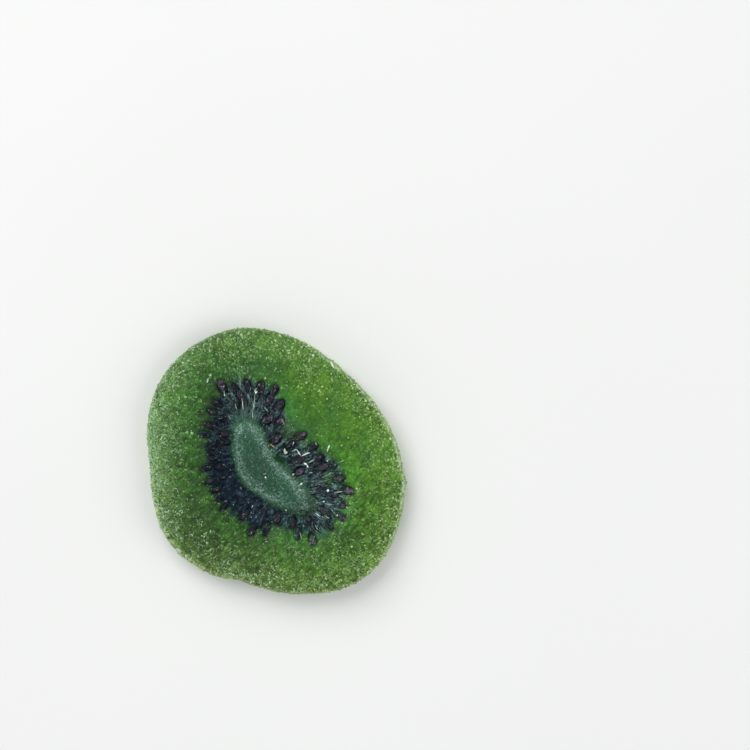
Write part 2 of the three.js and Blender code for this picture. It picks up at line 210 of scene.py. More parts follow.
# Loose pale bits: place from the core's centre, length, width, heading, and tone from tan to white.
PALE_BITS = [
    (-3.4, 12.3, 0.6, 0.4, 62, 1.0), (-11.6, 14.3, 0.9, 0.25, 75, 0.7), (6.3, 18.6, 0.5, 0.45, 0, 0.8),
    (8.9, 2.8, 1.2, 0.26, 69, 1.0), (4.95, 0.1, 0.85, 0.36, -33, 1.0), (3.85, 2.0, 1.45, 0.24, -58, 0.8),
    (5.0, 1.75, 1.65, 0.28, 23, 0.7), (3.15, 2.45, 0.9, 0.16, 28, 0.6), (-0.6, 3.15, 1.1, 0.2, -39, 0.0),
    (-1.3, 3.2, 0.5, 0.16, 60, 0.2), (1.5, 2.15, 1.05, 0.4, 97, 0.45), (8.8, -4.5, 0.5, 0.46, 0, 0.9),
    (5.35, -0.3, 0.55, 0.3, -72, 1.0), (1.72, 1.95, 0.55, 0.36, 60, 0.4), (2.95, 3.6, 0.7, 0.13, 75, 0.6),
    (5.9, 0.5, 1.3, 0.17, 31, 0.45), (6.8, 3.5, 0.6, 0.14, 100, 0.5), (8.7, 0.6, 0.24, 0.22, 0, 1.0),
    (5.95, -1.4, 0.6, 0.15, -5, 0.5), (2.9, -1.7, 0.4, 0.26, 70, 0.7),
    (-1.8, -2.2, 0.42, 0.32, 80, 1.0), (4.3, -3.3, 0.46, 0.36, 30, 1.0), (1.7, -7.8, 0.32, 0.3, 0, 0.8),
    (8.1, -6.3, 0.4, 0.26, 20, 0.7), (13.7, -4.1, 0.45, 0.26, 20, 0.6), (-18.7, -12.2, 0.5, 0.35, -50, 0.6),
    (-16.5, -14.5, 1.2, 0.6, -42, 0.4), (-15.2, -15.4, 0.5, 0.4, -40, 0.5),
    (-13.2, -17.6, 0.7, 0.4, -30, 0.6),
    (21.6, -3.1, 0.6, 0.45, 80, 0.5), (9.6, 17.0, 1.5, 0.3, -62, 0.9), (-12.2, -18.3, 0.4, 0.3, 0, 0.6),
    (-5.7, 10.3, 2.2, 0.17, -84, 0.6), (-3.6, 12.6, 1.1, 0.14, 58, 0.6), (-4.0, 8.4, 1.3, 0.12, -86, 0.6),
    (-8.8, 12.0, 1.0, 0.16, -84, 0.7), (1.2, 7.2, 1.2, 0.1, -64, 0.25), (-1.7, 9.4, 1.2, 0.1, -50, 0.5),
    (10.6, -4.7, 1.4, 0.13, 6, 0.6), (7.0, -8.5, 1.1, 0.15, -35, 0.8), (8.6, -8.9, 1.0, 0.12, -30, 0.6),
    (10.4, -8.6, 0.35, 0.3, 0, 0.9), (-4.1, -7.2, 0.6, 0.14, 60, 0.6), (4.2, -12.2, 1.3, 0.12, -74, 0.5),
    (6.9, -10.8, 1.1, 0.1, -60, 0.5), (11.3, 0.6, 0.9, 0.12, 25, 0.5), (-6.9, 9.9, 1.2, 0.1, -75, 0.5),
    (-3.9, 10.2, 1.5, 0.12, -82, 0.5),
]

# How finely the body's mesh is made.
STEPS_ROUND = 480
TOP_RINGS = 104
WALL_RINGS = 10
UNDER_RINGS = 48


def ease(value, low, high):
    share = np.clip((value - low) / (high - low), 0, 1)
    return share * share * (3 - 2 * share)


def bell(value, middle, reach):
    return np.exp(-(((value - middle) / reach) ** 2))


def lerp(start, end, share):
    return start + (end - start) * share


def noise(scaled, seed):
    """Smooth noise from -1 to 1 at each row of scaled, with lumps about one unit wide."""
    cell = np.floor(scaled).astype(np.int64)
    share = scaled - cell
    share = share * share * (3 - 2 * share)
    total = np.zeros(scaled.shape[:-1])
    for corner in itertools.product((0, 1), repeat=3):
        weight = np.prod(np.where(np.array(corner) == 1, share, 1 - share), axis=-1)
        ix, iy, iz = np.moveaxis(cell + np.array(corner), -1, 0)
        mixed = (ix * 374761393 + iy * 668265263 + iz * 974711 + seed * 1274126177) & 0xFFFFFFFF
        mixed = ((mixed ^ (mixed >> 13)) * 1274126177) & 0xFFFFFFFF
        total += weight * ((mixed ^ (mixed >> 16)) / 0x7FFFFFFF - 1)
    return total


# The slice's shape

def radius_at(radii, angle):
    """A smooth closed curve through evenly spaced radii."""
    place = (angle / TURN % 1) * len(radii)
    first = np.floor(place).astype(int)
    share = place - first
    before, start, end, after = (radii[(first + step) % len(radii)] for step in (-1, 0, 1, 2))
    slope, next_slope, rise = (end - before) / 2, (after - start) / 2, end - start
    return (
        start
        + share * slope
        + share**2 * (3 * rise - 2 * slope - next_slope)
        + share**3 * (slope + next_slope - 2 * rise)
    )


def rim_radius(angle):
    radius = radius_at(RIM_RADII, angle)
    for centre, height, spread in RIM_LUMPS:
        away = angle - math.radians(centre)
        away = np.arctan2(np.sin(away), np.cos(away))
        radius = radius + height * bell(away, 0, math.radians(spread))
    return radius


def ellipse_point(spread, fan):
    half_width = spread * RIM_HALF_WIDTH
    return np.hypot(CORE_FOCUS, half_width) * np.cos(fan), half_width * np.sin(fan)


def face_point(spread, fan):
    """The cut face's point, from the core's centre, for a spread, which is 0 on the core's middle line and 1
    at the rim, and a fan, which turns round the core."""
    rim_along, rim_across = ellipse_point(1.0, fan)
    rim_angle = CORE_HEADING + np.arctan2(rim_across, rim_along)
    stretch = rim_radius(rim_angle) / np.hypot(rim_along, rim_across)
    scale = 1 + (stretch - 1) * spread**2
    along, across = ellipse_point(spread, fan)
    bend = CORE_BEND * bell(along, CORE_BEND_MIDDLE, CORE_BEND_REACH) * (1 - spread**2) ** 2
    along, across = along * scale, (across - bend) * scale
    cos, sin = math.cos(CORE_HEADING), math.sin(CORE_HEADING)
    return along * cos - across * sin, along * sin + across * cos


class Place:
    """Points of the cut face, with what their heights and looks depend on."""

    def __init__(self, spread, fan, seeds=()):
        self.spread, self.fan = spread, fan
        self.x, self.y = face_point(spread, fan)
        self.radius = np.hypot(self.x, self.y)
        self.angle = np.arctan2(self.y, self.x)
        self.outside_core = (spread - CORE_SPREAD) * RIM_HALF_WIDTH
        further_x, further_y = face_point(spread + 0.01, fan)
        stretch = np.hypot(further_x - self.x, further_y - self.y) / (0.01 * RIM_HALF_WIDTH)
        self.past_core = self.outside_core * stretch - self.by_ray(CORE_BORDER_SHIFTS)
        self.inside_seeded = radius_at(SEEDED_RADII, self.angle) - self.radius
        self.inside_rim = rim_radius(self.angle) - self.radius
        # From 0 at the seeded ring to 1 at the rim.
        width = np.maximum(0.1, self.inside_rim - self.inside_seeded)
        self.outwards = np.clip(-self.inside_seeded / width, 0, 1)
        self.seed_gap = np.full(np.shape(self.x), 9.0)
        # The bed is each seed's dent, shifted to its upper-left and inner side, where it is also painted dark
        # as the seed's shadow.
        self.shaded_bed_gap = self.seed_gap
        self.shaded_bed = np.zeros(np.shape(self.x))
        for seed in seeds:
            gap = self.gap_from(seed, 0, 0, 0)
            self.seed_gap = np.minimum(self.seed_gap, gap)
            shaded_bed_gap = self.gap_from(seed, *SHADE_SHIFT)
            self.shaded_bed_gap = np.minimum(self.shaded_bed_gap, shaded_bed_gap)
            self.shaded_bed = np.maximum(self.shaded_bed, seed["clear"] * (1 - ease(shaded_bed_gap, -0.25, 0.2)))

    def gap_from(self, seed, right, up, inwards):
        """The distance from a seed, or from where it would be if shifted, as a share of its own reach."""
        cos, sin = math.cos(seed["heading"]), math.sin(seed["heading"])
        dx, dy = self.x - seed["x"] - right, self.y - seed["y"] - up
        along = (dx * cos + dy * sin + inwards) / (SEED_LENGTH / 2 * seed["size"])
        across = (dy * cos - dx * sin) / (SEED_WIDTH / 2 * seed["size"])
        return np.hypot(along, across) - 1

    def lumps(self, size, seed):
        """Noise that is alike in all directions, with lumps of this size."""
        at = np.stack([self.x, self.y, np.zeros_like(self.x)], -1)
        return noise(at / size + 31.7, seed)

    def away(self, degrees, reach):
        """From 0 to 1: how near the ray is to one at this angle of the fan."""
        turned = self.fan - math.radians(degrees)
        return bell(np.degrees(np.arctan2(np.sin(turned), np.cos(turned))), 0, reach)

    def by_ray(self, table):
        """The sum of what a table's rays bring."""
        return sum(amount * self.away(degrees, reach) for degrees, reach, amount in table)

    def facing(self, degrees, power=1):
        """From 0 to 1: how far a point lies towards this heading from the core's centre."""
        return (0.5 + 0.5 * np.cos(self.angle - math.radians(degrees))) ** power

    def patches(self, table, most=1):
        """Soft round patches, each given by its place, its reach and its strength."""
        total = sum(s * bell(np.hypot(self.x - x, self.y - y), 0, reach) for x, y, reach, s in table)
        return np.clip(total, -most, most)

    def rays(self, count, length, seed):
        """Noise drawn out along the fruit's rays: about this many streaks round, of this length."""
        across = count / TURN
        outwards = self.spread * RIM_HALF_WIDTH / length
        at = np.stack([across * np.cos(self.fan), across * np.sin(self.fan), outwards], -1)
        return noise(at + 57.3, seed)


def curl(place):
    outwards = np.maximum(0, (place.spread - CURL_START) / (1 - CURL_START))
    towards = np.maximum(0, np.cos(2 * (place.angle - CURL_HEADING)))
    return CURL_HEIGHT * outwards**2 * towards**2


def top_height(place):
    core = 1 - ease(place.outside_core, -0.4, 1.3)
    flesh = ease(-place.inside_seeded, -0.9, 1.2)
    lip = CORE_LIP * bell(place.outside_core, -CORE_LIP_INSET, CORE_LIP_SPREAD)
    crown = FLESH_CROWN * np.sin(np.pi * ease(-place.inside_seeded, 0, 9))
    swell = sum(h * np.sin(a * place.x + b * place.y + phase) for h, a, b, phase in SWELLS)
    steps = (FLESH_HEIGHT - SEEDED_HEIGHT) * flesh + (CORE_HEIGHT - SEEDED_HEIGHT) * core
    return SEEDED_HEIGHT + steps + lip + crown + swell + curl(place)


def under_height(place):
    core = 1 - ease(place.outside_core, -0.4, 1.3)
    hollow = lerp(UNDER_SEEDS_HOLLOW, UNDER_CORE_HOLLOW, core)
    return hollow * ease(place.inside_seeded, -0.5, 0.9) + curl(place)


# The slice's middle, which is the frame's origin, from the core's centre.
whole_rim = Place(np.ones(1440), np.linspace(0, TURN, 1440))
OFFSET = np.array([(row.min() + row.max()) / 2 for row in (whole_rim.x, whole_rim.y)] + [0.0])


# The seeds' places

def draws(state):
    while True:
        state = state * 16807 % 2147483647
        yield state / 2147483647


def seeded_spread(fan):
    """The spread at which a ray crosses the seeded ring's outer edge."""
    low, high = CORE_SPREAD, 1.0
    for _ in range(24):
        middle = (low + high) / 2
        if Place(middle, fan).inside_seeded > 0:
            low = middle
        else:
            high = middle
    return low


def seed_place(fan, inset, draw):
    spread = seeded_spread(fan) - inset / RIM_HALF_WIDTH
    x, y = face_point(spread, fan)
    further_x, further_y = face_point(spread + 0.01, fan)
    outwards = math.atan2(further_y - y, further_x - x)
    turn, rise, size = 0.35 * (next(draw) - 0.5), next(draw), 0.9 + 0.2 * next(draw)
    heading = outwards + turn
    return {"spread": spread, "fan": fan, "x": x, "y": y, "heading": heading, "rise": rise, "size": size}


def seed_places(face):
    """The marked seeds, then others ray by ray from the ring's edge inwards, each clear of the rest."""
    draw = draws(face["start"])
    marked = [(math.radians(fan), inset, clear) for fan, inset, clear in face["marked"]]
    places = [seed_place(fan, inset, draw) | {"clear": clear} for fan, inset, clear in marked]
    for ray in range(face["rays"]):
        fan = (ray + 0.5 * (next(draw) - 0.5)) / face["rays"] * TURN
        room = (seeded_spread(fan) - CORE_SPREAD) * RIM_HALF_WIDTH
        inset = face["first_inset"] + SEED_STAGGER * (ray % 2) * next(draw) + 0.4 * next(draw)
        while inset < room - SEED_CORE_MARGIN:
            seed = seed_place(fan, inset, draw)
            if all(math.hypot(seed["x"] - o["x"], seed["y"] - o["y"]) > SEED_CLEARANCE for o in places):
                places.append(seed | {"clear": 0.3})
            inset += SEED_PITCH * (0.85 + 0.4 * next(draw))
    return places


# Fine relief

def ragged(place):
    """How far the borders of the core and of the seeded ring wander, in millimetres."""
    return 0.55 * place.rays(70, 3.0, 11) + 0.3 * place.rays(150, 1.5, 12)


def seeded_level(place):
    """How far a point is inside the dark gel, which bulges out round the outer seeds."""
    round_seeds = 0.5 * place.lumps(0.7, 13) - 0.3 - 2.5 * place.seed_gap
    in_ring = place.inside_seeded - 0.75 - 0.6 * place.away(129, 12) + 0.8 * ragged(place)
    return np.maximum(in_ring, round_seeds)


def zones(place):
    """How far each point belongs to the core, to the seeded ring and to the flesh."""
    soft = 1 - 0.5 * place.facing(215) + 0.9 * place.away(172, 24)
    core = 1 - ease((place.past_core + 0.5 * soft * ragged(place) - 0.1) / soft, -0.7, 0.8)
    seeded = ease(seeded_level(place), -0.5, 0.6) * (1 - core)
    return core, seeded, 1 - core - seeded


def moat(place):
    """Dents round the seeds, where the flesh has dried away from them; the colour darkens the same dents as
    painted shade.
    """
    return bell(place.shaded_bed_gap, 0.0, 0.2)


def pit_distance(place):
    """The distance from the small pit beside the core, as a share of the pit's own reach."""
    dx, dy = place.x - PIT["x"], place.y - PIT["y"]
    cos, sin = math.cos(PIT["heading"]), math.sin(PIT["heading"])
    return np.hypot((dx * cos + dy * sin) / PIT["length"], (dy * cos - dx * sin) / PIT["width"])


def relief(place):
    core, seeded, flesh = zones(place)
    skin = 0.05 * place.lumps(1.2, 1) + 0.045 * place.lumps(0.5, 2) + 0.05 * place.rays(150, 1.8, 3)
    gel = 0.17 * place.rays(84, 3.2, 4) + 0.08 * place.rays(190, 1.6, 5) + 0.04 * place.lumps(0.45, 6)
    middle = 0.02 * place.lumps(0.5, 7) + 0.05 * place.rays(130, 1.4, 8) * bell(place.past_core, -0.4, 0.9)
    hollows = MOAT_DEPTH * moat(place) + BED_DEPTH * place.shaded_bed
    pit = PIT["depth"] * (1 - ease(pit_distance(place), 0.4, 1.2))
    return flesh * skin + seeded * gel + core * middle - hollows - pit


def wall_top_inset(angle):
    return WALL_TOP_INSET + WALL_TOP_INSET_RIGHT * np.maximum(0, np.cos(angle - WALL_RIGHT_HEADING))


def body_rings(top_seeds, under_seeds):
    """The body's points as a stack of rings, with the spread and fan of each and which side it is on."""
    fan = np.arange(STEPS_ROUND) / STEPS_ROUND * TURN
    rim = Place(np.ones_like(fan), fan)
    top_edge = 1 - wall_top_inset(rim.angle) / rim.radius
    under_edge = 1 - WALL_BOTTOM_INSET / rim.radius
    bow = 2 / WALL_SQUARENESS
    rows = []

    def add(spread, share, side):
        place = Place(spread, fan, top_seeds if side > 0 else under_seeds)
        top = top_height(place) + relief(place)
        under = under_height(place) + np.abs(0.5 * relief(place))
        mid = lerp(under_height(place), top_height(place), WALL_WIDEST)
        height = lerp(top if side > 0 else under, mid, share)
        rough = 0.09 * noise(np.stack([place.x / 0.9, place.y / 0.9, height / 0.7], -1) + 11.1, 21)
        rough = rough + 0.05 * noise(np.stack([place.x / 0.35, place.y / 0.35, height / 0.35], -1) + 9.1, 22)
        outwards = share * rough / place.radius
        x, y = place.x * (1 + outwards), place.y * (1 + outwards)
        rows.append((np.stack([x, y, height], -1), spread * np.ones_like(fan), share * np.ones_like(fan)))

    for step in range(TOP_RINGS):
        add(step / TOP_RINGS * top_edge, 0.0, 1)
    for step in range(WALL_RINGS):
        turned = step / WALL_RINGS * math.pi / 2
        add(lerp(top_edge, 1, math.sin(turned) ** bow), 1 - math.cos(turned) ** bow, 1)
    for step in range(WALL_RINGS, 0, -1):
        turned = step / WALL_RINGS * math.pi / 2
        add(lerp(under_edge, 1, math.sin(turned) ** bow), 1 - math.cos(turned) ** bow, -1)
    for step in range(UNDER_RINGS, -1, -1):
        add(step / UNDER_RINGS * under_edge, 0.0, -1)
    points, spreads, shares = (np.array([row[k] for row in rows]) for k in range(3))
    fans = np.broadcast_to(fan, spreads.shape)
    return points, spreads, fans, shares


# Pieces

def make_piece(name, points, faces, material, smooth=True, values=None):
    """A piece from points in millimetres, with named values on its points for the material to read."""
    mesh = bpy.data.meshes.new(name)
    mesh.from_pydata((points * MM).tolist(), [], faces.tolist())
    for key, value in (values or {}).items():
        several = value.ndim == 2
        layer = mesh.attributes.new(key, "FLOAT_VECTOR" if several else "FLOAT", "POINT")
        layer.data.foreach_set("vector" if several else "value", value.astype(np.float32).ravel())
    mesh.polygons.foreach_set("use_smooth", np.full(len(mesh.polygons), smooth))
    mesh.materials.append(material)
    piece = bpy.data.objects.new(name, mesh)
    bpy.context.scene.collection.objects.link(piece)
    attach(piece, "root")
    return piece


def strip_faces(rings, steps):
    """Quads between neighbouring rings of a stack."""
    level, step = np.meshgrid(np.arange(rings - 1), np.arange(steps), indexing="ij")
    following = (step + 1) % steps
    low, high = level * steps, (level + 1) * steps
    return np.stack([low + step, high + step, high + following, low + following], -1).reshape(-1, 4)


def weld(piece, distance):
    """Joins points that lie together, as along the core's middle line."""
    shape = bmesh.new()
    shape.from_mesh(piece.data)
    bmesh.ops.remove_doubles(shape, verts=shape.verts, dist=distance * MM)
    bmesh.ops.recalc_face_normals(shape, faces=shape.faces)
    shape.to_mesh(piece.data)
    shape.free()


def streakiness(place):
    """From 0 to 1: how many pale streaks the gel has, most at the core's upper tip and on its right."""
    return np.clip(place.away(168, 34) + 0.8 * place.away(40, 62) + 0.15, 0, 1)


def wisps(place):
    """Where pale and dark wisps run on past the seeds into the flesh."""
    top = place.away(167, 15) * bell(place.inside_seeded, -0.6, 1.8)
    low = 0.4 * place.away(328, 14) * bell(place.inside_seeded, -1.0, 1.6)
    right = 0.2 * place.away(30, 24) * bell(place.inside_seeded, -0.4, 1.0)
    return np.clip(top + low + right, 0, 1)


def pale_streaks(place):
    """The palest streaks, which run outwards between the seeds."""
    total = 0
    for fan, inner, outer, reach, strength in PALE_STREAKS:
        along = 1 - ease(place.inside_seeded, inner - 1, inner)
        along = along * ease(place.inside_seeded, outer, outer + 1)
        total = total + strength * place.away(fan, reach) * along
    return np.clip(total, 0, 1)


def tone_here(place):
    """How much paler (above 0) or darker (below 0) the face is at a place, and the rim towards a heading."""
    by_heading = sum(amount * place.facing(degrees, power) for degrees, power, amount in RIM_TONES)
    by_heading = by_heading * (1 - ease(place.inside_rim, 0.4, 2.0))
    return np.clip(place.patches(TONE_PATCHES, 1.6) + by_heading, -1.6, 1.6)


def core_ring(place):
    """The frosted band just inside the core's border, stronger on some rays and faint on others."""
    strength = (0.95 + 0.35 * place.rays(7, 30, 38)) * (1 + place.by_ray(CORE_RING_STRENGTHS))
    return strength * bell(place.past_core, place.by_ray(CORE_RING_SHIFTS) - 0.85, 0.8)


def core_glow(place):
    """How much brighter the core is towards its upper tip, and darker towards the lower one."""
    along = place.x * math.cos(CORE_HEADING) + place.y * math.sin(CORE_HEADING)
    return ease(-along, 3.5, 8.5) - 0.7 * ease(along, 5.5, 9.0)


def frosting(place, edge):
    """How thickly fine sugar lies, from 0 to about 1."""
    core, seeded, flesh = zones(place)
    outwards = place.outwards
    uneven = 0.9 + 0.4 * place.lumps(4.5, 31) + 0.35 * place.lumps(1.6, 32)
    bare = 0.3 * place.patches(BARE_PATCHES)
    more = 0.6 * place.patches(SUGARY_PATCHES)
    left = place.facing(190)
    on_flesh = 0.3 + 0.55 * ease(outwards, 0.1, 0.9) + 0.12 * left + 0.3 * left**2 * outwards**3
    upper = place.facing(110, 3)
    on_flesh = (on_flesh + more - bare - upper * (0.14 + 0.34 * ease(outwards, 0.78, 1.0))) * uneven
    on_core = core_ring(place) * (0.5 + 0.8 * place.rays(110, 2.2, 33))
    sugar = flesh * on_flesh + 0.4 * edge + core * (0.7 * on_core + 0.2) + 0.1 * seeded * (1 - left**2) + 0.02
    return np.clip(sugar * ease(pit_distance(place), 0.8, 1.2), 0, 1.4)


def look_values(spreads, fans, shares, seeds):
    """What the flesh's material reads at each point."""
    place = Place(spreads.ravel(), fans.ravel(), seeds)
    core, seeded, _ = zones(place)
    shares = shares.ravel()
    # Painted shade: dark rings in the dents round the seeds near the gel.
    painted_dent_shade = moat(place) * (0.75 + 0.5 * place.lumps(0.8, 37)) * ease(place.inside_seeded, -1.6, 0.6)
    # The edge is a pale line along the rim: painted rim light, strongest where the rim is lit on the lower
    # left and the lower right, with a faint band on the right. It also brings more sugar there.
    reach = 0.75 + 0.5 * place.facing(205, 2)
    thin = 1 - ease(place.inside_rim, 0.35 * reach, reach)
    band = (1 - ease(place.inside_rim, 0.55, 1.25)) * ease(place.facing(22), 0.72, 0.95)
    lit = np.maximum(place.facing(-32, 4), place.facing(202, 4))
    edge = np.clip(thin * (0.04 + 0.78 * lit) + 0.06 * band, 0, 1) * (1 - 0.7 * ease(shares, 0.5, 1.0))
    milk = place.facing(168, 3) * ease(place.outwards, 0.15, 1.0) * (1 - core - seeded)
    milk = milk * (1 - 0.7 * place.patches(COOL_PATCHES)) * ease(place.inside_rim, -0.8, 1.6)
    return {
        "core": core,
        "core_depth": ease(-place.past_core, 0.5, 2.4),
        "core_ring": core_ring(place),
        "core_glow": core_glow(place),
        "tinge": 1 - ease(place.past_core + ragged(place), 0.0, 1.1 + place.by_ray(TINGE_REACHES)),
        "seeded": seeded,
        "halo": ease(seeded_level(place), -0.95, 0.0),
        "pit": 1 - ease(pit_distance(place) + 0.25 * place.lumps(0.4, 36), 0.8, 1.05),
        "green": place.patches(GREEN_PATCHES),
        "here": tone_here(place),
        "tip": place.away(170, 24),
        "streak": pale_streaks(place),
        "tip_blend": place.away(168, 26) * (1 - ease(place.past_core + 0.7 * ragged(place), 0.4, 3.4)),
        "rim_line": bell(place.inside_rim, 0.32, 0.22) * ease(place.facing(16), 0.7, 0.92),
        "minty": core + seeded,
        "coarse": place.facing(45, 2),
        "calm": place.facing(60, 3),
        "olive": place.facing(264, 2) * place.outwards,
        "border": (1 - ease(seeded_level(place), 0.1, 2.0)) * (1 - 0.3 * place.facing(205, 2)),
        "ridges": bell(place.inside_rim, 1.3, 1.0) * place.facing(176, 5),
        "wisps": wisps(place),
        "inner_gel": ease(seeded_level(place), 0.2, 1.1),
        "streaky": streakiness(place),
        "outwards": place.outwards,
        "near_seeds": bell(np.maximum(0, -place.inside_seeded), 0, 3.0),
        "cool": place.patches(COOL_PATCHES),
        "bluish": place.away(116, 26) * bell(place.inside_seeded, -0.2, 1.5),
        "warm": place.patches(WARM_PATCHES),
        "left": place.facing(200),
        "milk": milk,
        "upper_left": place.facing(150, 2) * place.outwards,
        "glow": place.by_ray(GEL_GLOWS),
        "edge": edge,
        "frost": frosting(place, edge),
        # painted shade round the seeds, and the shadow crescents on their upper-left sides
        "moat": np.maximum(place.shaded_bed, painted_dent_shade),
        "rays": np.stack([np.cos(place.fan), np.sin(place.fan), place.spread * RIM_HALF_WIDTH], -1),
    }


def make_body(material, top_seeds, under_seeds):
    points, spreads, fans, shares = body_rings(top_seeds, under_seeds)
    above = np.repeat(np.arange(len(points)) < TOP_RINGS + WALL_RINGS, STEPS_ROUND)
    values = look_values(spreads, fans, shares, top_seeds)
    beneath = look_values(spreads, fans, shares, under_seeds)
    # The underside's painted rim light is fainter.
    beneath["edge"] = 0.25 * beneath["edge"]
    for key, value in values.items():
        values[key] = np.where(above if value.ndim == 1 else above[:, None], value, beneath[key])
    faces = strip_faces(len(points), STEPS_ROUND)
    placed = points - OFFSET
    placed[..., 2] = np.maximum(placed[..., 2], 0)
    body = make_piece("kiwi_flesh", placed.reshape(-1, 3), faces, material, values=values)
    weld(body, 0.002)
    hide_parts("kiwi_slice")
    return placed, {key: value.reshape(spreads.shape) for key, value in values.items() if value.ndim == 1}


def drop_template(rows, sides):
    """A drop of unit length with its pointed end at -X, as points and faces."""
    along = np.arange(1, rows) / rows
    radius = 0.5 * np.sin(np.pi * along**1.35) ** 0.75
    turn = np.arange(sides) / sides * TURN
    rings = np.stack([
        np.repeat(along - 0.5, sides),
        np.outer(radius, np.cos(turn)).ravel(),
        np.outer(radius, np.sin(turn)).ravel(),
    ], -1)
    points = np.vstack([rings, [[-0.5, 0, 0], [0.5, 0, 0]]])
    quads = strip_faces(rows - 1, sides)
    step = np.arange(sides)
    following = (step + 1) % sides
    tip, end = len(rings), len(rings) + 1
    last = (rows - 2) * sides
    at_tip = np.stack([tip + 0 * step, step, following], -1)
    at_end = np.stack([end + 0 * step, last + following, last + step], -1)
    return points, np.vstack([quads[:, [0, 1, 2]], quads[:, [0, 2, 3]], at_tip, at_end])


def spin(points, heading, pitch=0.0):
    """Points pitched about Y and then turned about Z."""
    cp, sp, ch, sh = (f(a) for a in (pitch, heading) for f in (math.cos, math.sin))
    about_y = np.array([[cp, 0, sp], [0, 1, 0], [-sp, 0, cp]])
    about_z = np.array([[ch, -sh, 0], [sh, ch, 0], [0, 0, 1]])
    return points @ (about_z @ about_y).T


def join(parts):
    """One set of points and faces from several, with each part's number on its points."""
    points, faces, numbers, count = [], [], [], 0
    for number, (part_points, part_faces) in enumerate(parts):
        points.append(part_points)
        faces.append(part_faces + count)
        numbers.append(np.full(len(part_points), number))
        count += len(part_points)
    return np.vstack(points), np.vstack(faces), np.concatenate(numbers)


def make_seeds(material, top_seeds, under_seeds, rng):
    template, faces = drop_template(SEED_ROWS, SEED_SIDES)
    parts, owns, looks = [], [], []
    for seed, face, height_at, outside in (
        *((seed, TOP_SEEDS, top_height, 1) for seed in top_seeds),
        *((seed, UNDER_SEEDS, under_height, -1) for seed in under_seeds),
    ):
        clear, size = seed["clear"], seed["size"]
        shown = 0.3 + 0.7 * clear
        place = Place(np.array(seed["spread"]), np.array(seed["fan"]))
        larger = float(place.away(150, 34))
        length = SEED_LENGTH * size * rng.uniform(0.92, 1.04) * (1 + 0.08 * larger)
        width = SEED_WIDTH * size * (0.66 + 0.26 * clear + rng.uniform(0, 0.08)) * (0.92 + 0.2 * larger)
        scaled = template * [length, width, SEED_THICKNESS * size]
        own = scaled + rng.uniform(0, 90, 3)
        coat = 1 + 0.05 * noise(own / [0.7, 0.28, 0.28], 41)
        heading = seed["heading"] + rng.normal(0, 0.1)
        pitch = (rng.uniform(-0.1, 0.12) + 0.09 * clear) * outside
        height = height_at(place) + outside * (lerp(*face["rise"], seed["rise"]) - 0.3 * (1 - clear))
        parts.append((spin(scaled * coat[:, None], heading, pitch) + [seed["x"], seed["y"], height], faces))
        owns.append(own)
        looks.append((
            clear * rng.uniform(0.85, 1.15) * (1 - 0.4 * place.facing(222, 2)),
            # how strong the seed's painted highlights are
            shown * rng.uniform(0.4, 1),
            shown * rng.uniform(0.4, 1.1) * float(place.away(15, 42)),
        ))
    points, faces, numbers = join(parts)
    placed = points - OFFSET
    placed[:, 2] = np.maximum(placed[:, 2], 0)
    values = dict(zip(("tone", "glint", "dust"), np.array(looks)[numbers].T))
    values["own"] = np.vstack(owns)
    # Painted shade: each seed is darkened along its sides, where its coat turns away.
    values["flank"] = np.tile(ease(np.abs(template[:, 1]), 0.28, 0.48), len(parts))
    make_piece("seeds", placed, faces, material, values=values)
    return placed


def fibre(fan, start, length, thickness, seeds, rng):
    """A thin strand along a ray, from start millimetres outside the core."""
    share = np.linspace(0, 1, FIBRE_STEPS)
    spread = CORE_SPREAD + (start + length * share) / RIM_HALF_WIDTH
    wander = rng.normal(0, 0.03) * share + rng.normal(0, 0.009, FIBRE_STEPS).cumsum()
    place = Place(spread, fan + wander, seeds)
    height = top_height(place) + relief(place) + 0.3 * thickness
    centre = np.stack([place.x, place.y, height], -1)
    ahead = np.gradient(centre, axis=0)
    beside = np.stack([-ahead[:, 1], ahead[:, 0], 0 * share], -1)
    beside /= np.linalg.norm(beside, axis=1, keepdims=True)
    width = thickness * (0.25 + 0.75 * np.sin(np.pi * np.clip(share * 0.9 + 0.08, 0, 1)))[:, None]
    up = np.array([0, 0, 0.6])
    rings = np.stack([centre + side * width for side in (beside, up, -beside, -up)], 1)
    return rings.reshape(-1, 3), strip_faces(FIBRE_STEPS, 4)


def make_fibres(material, seeds, rng):
    parts, tones = [], []
    for _ in range(FIBRE_COUNT):
        fan = rng.uniform(0, TURN)
        along = Place(np.array(0.3), np.array(fan))
        if rng.uniform() < 0.95 * along.facing(215, 2) + 0.4 * along.away(168, 30):
            continue
        pale = float(streakiness(along))
        room = (seeded_spread(fan) - CORE_SPREAD) * RIM_HALF_WIDTH
        start = rng.uniform(-0.5, 0.75 * room)
        at_tip = float(along.away(170, 26))
        length = rng.uniform(0.5, 1.8) * (1 + 0.6 * pale + 0.8 * at_tip)
        thickness = rng.uniform(0.016, 0.032) * (1 + (1.7 * pale + 2.0 * at_tip) * rng.uniform(0, 1) ** 4)
        length = min(length, room + 0.9 * pale + 1.1 * at_tip - start)
        strand = fibre(fan, start, length, thickness, seeds, rng)
        if np.hypot(*(strand[0][:, :2] - [PIT["x"], PIT["y"]]).T).min() >= 1.0:
            parts.append(strand)
            tones.append(rng.uniform(0, 0.25) + rng.uniform(0, 1) ** 3 * pale)
    points, faces, numbers = join(parts)
    values = {"tone": np.clip(tones, 0, 1)[numbers]}
    make_piece("fibres", points - OFFSET, faces, material, values=values)


